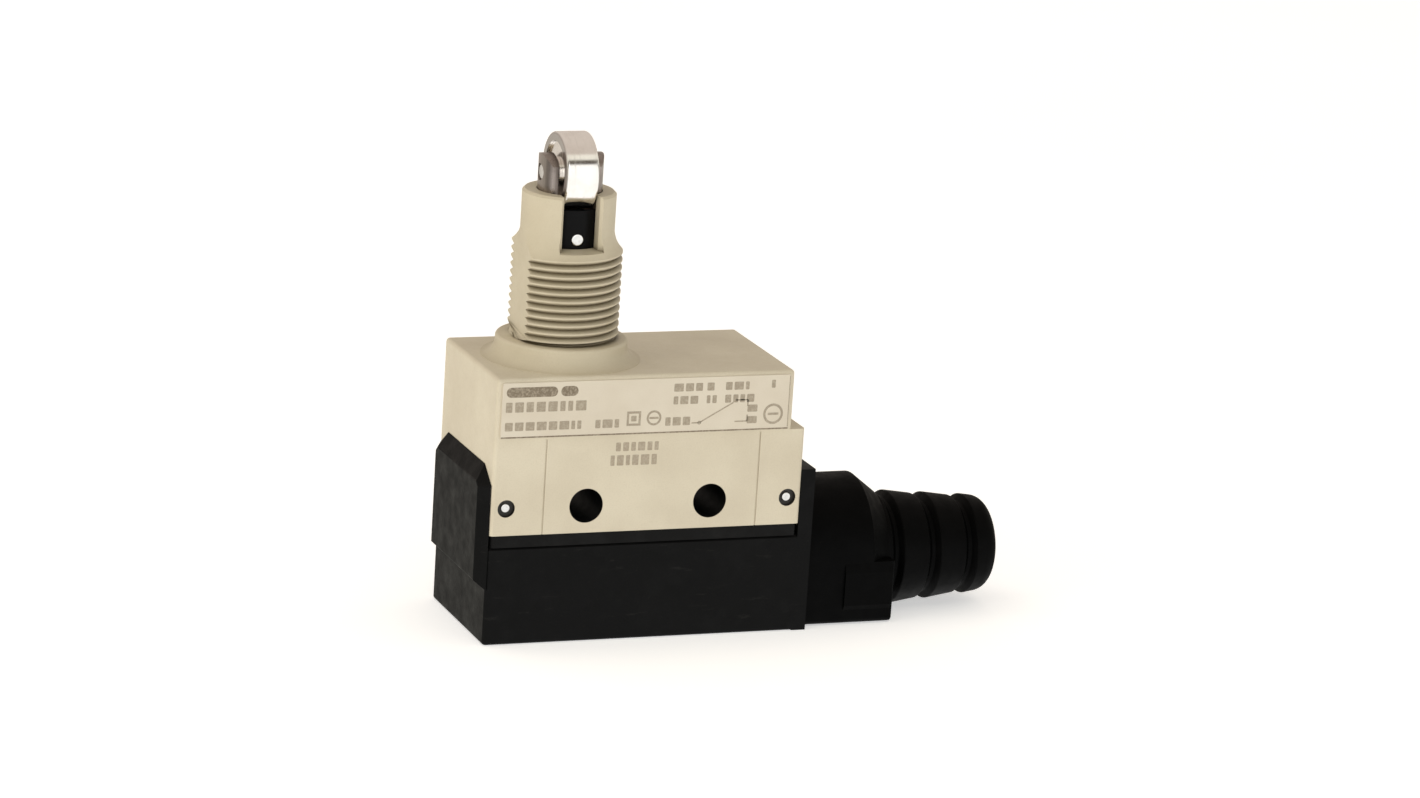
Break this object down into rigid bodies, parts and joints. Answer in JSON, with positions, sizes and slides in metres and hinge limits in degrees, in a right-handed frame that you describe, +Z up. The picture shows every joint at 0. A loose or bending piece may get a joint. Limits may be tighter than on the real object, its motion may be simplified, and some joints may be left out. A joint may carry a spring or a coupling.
{
  "type": "limit switch",
  "caption": "Enclosed panel-mounting limit switch: moulded case, threaded barrel, sprung plunger with a cross roller, terminal cover and cable boot.",
  "frame": {"origin": "on the underside of the terminal cover, midway between the two mounting holes and halfway through the case's depth", "axes": "+X towards the cable boot, +Y to the back along the mounting holes, +Z up along the plunger"},
  "size_m": [0.0709, 0.021, 0.0613],
  "materials": {
    "case_resin": "fine satin moulding",
    "plate": "satin, printed",
    "black_resin": "fine texture",
    "boot_rubber": "matt",
    "seal_rubber": "satin",
    "steel": "ground",
    "polished_steel": "polished",
    "spring_steel": "drawn wire",
    "bronze": "sintered",
    "copper_alloy": "stamped sheet",
    "silver": "contact rivet",
    "black_acetal": "satin",
    "insulator": "moulded",
    "red_resin": "moulded"
  },
  "bodies": {
    "housing": {"case": "case_resin", "threaded_barrel": "case_resin", "marking_plate": "plate", "case_pins": "steel", "terminal_cover": "black_resin", "cover_gasket": "seal_rubber", "cable_boot": "boot_rubber", "guide_bush": "bronze", "plunger_seal": "seal_rubber", "return_spring": "spring_steel", "overtravel_spring": "spring_steel", "contact_housing": "insulator", "fixed_contacts": "silver", "tension_spring": "copper_alloy", "open_terminal": "copper_alloy", "closed_terminal": "copper_alloy", "common_terminal": "copper_alloy", "terminal_block": "insulator", "terminal_nuts": "copper_alloy", "terminal_washers": "steel", "terminal_screws": "steel"},
    "plunger": {"plunger_body": "black_acetal", "plunger_fork": "steel", "cross_pin": "polished_steel", "roller_pin": "steel", "stem_bush": "bronze"},
    "roller": {"roller": "polished_steel"},
    "pusher": {"push_rod": "steel", "switch_button": "red_resin"},
    "blade": {"snap_blade": "copper_alloy", "moving_contact": "silver"}
  },
  "joints": [
    {"name": "plunger_slide", "type": "slide", "parent": "housing", "child": "plunger", "axis": [0, 0, -1], "range_m": [0, 0.0038], "stiffness_N_per_m": 2000, "springref_m": -0.0025, "deforming": ["return_spring", "overtravel_spring"]},
    {"name": "roller_spin", "type": "hinge", "parent": "plunger", "child": "roller", "pos_m": [-0.0087, 0, 0.0565], "axis": [1, 0, 0], "continuous": true},
    {"name": "pusher_slide", "type": "slide", "parent": "housing", "child": "pusher", "axis": [0, 0, -1], "range_m": [0, 0.00082]},
    {"name": "blade_rock", "type": "hinge", "parent": "housing", "child": "blade", "pos_m": [0.0122, 0, 0.02635], "axis": [0, -1, 0], "range_deg": [0, 2.25]}
  ],
  "couplings": [
    {"joint": "pusher_slide", "follows": "plunger_slide", "ratio": 0.21},
    {"joint": "blade_rock", "follows": "plunger_slide", "rad_per_m": 10}
  ]
}
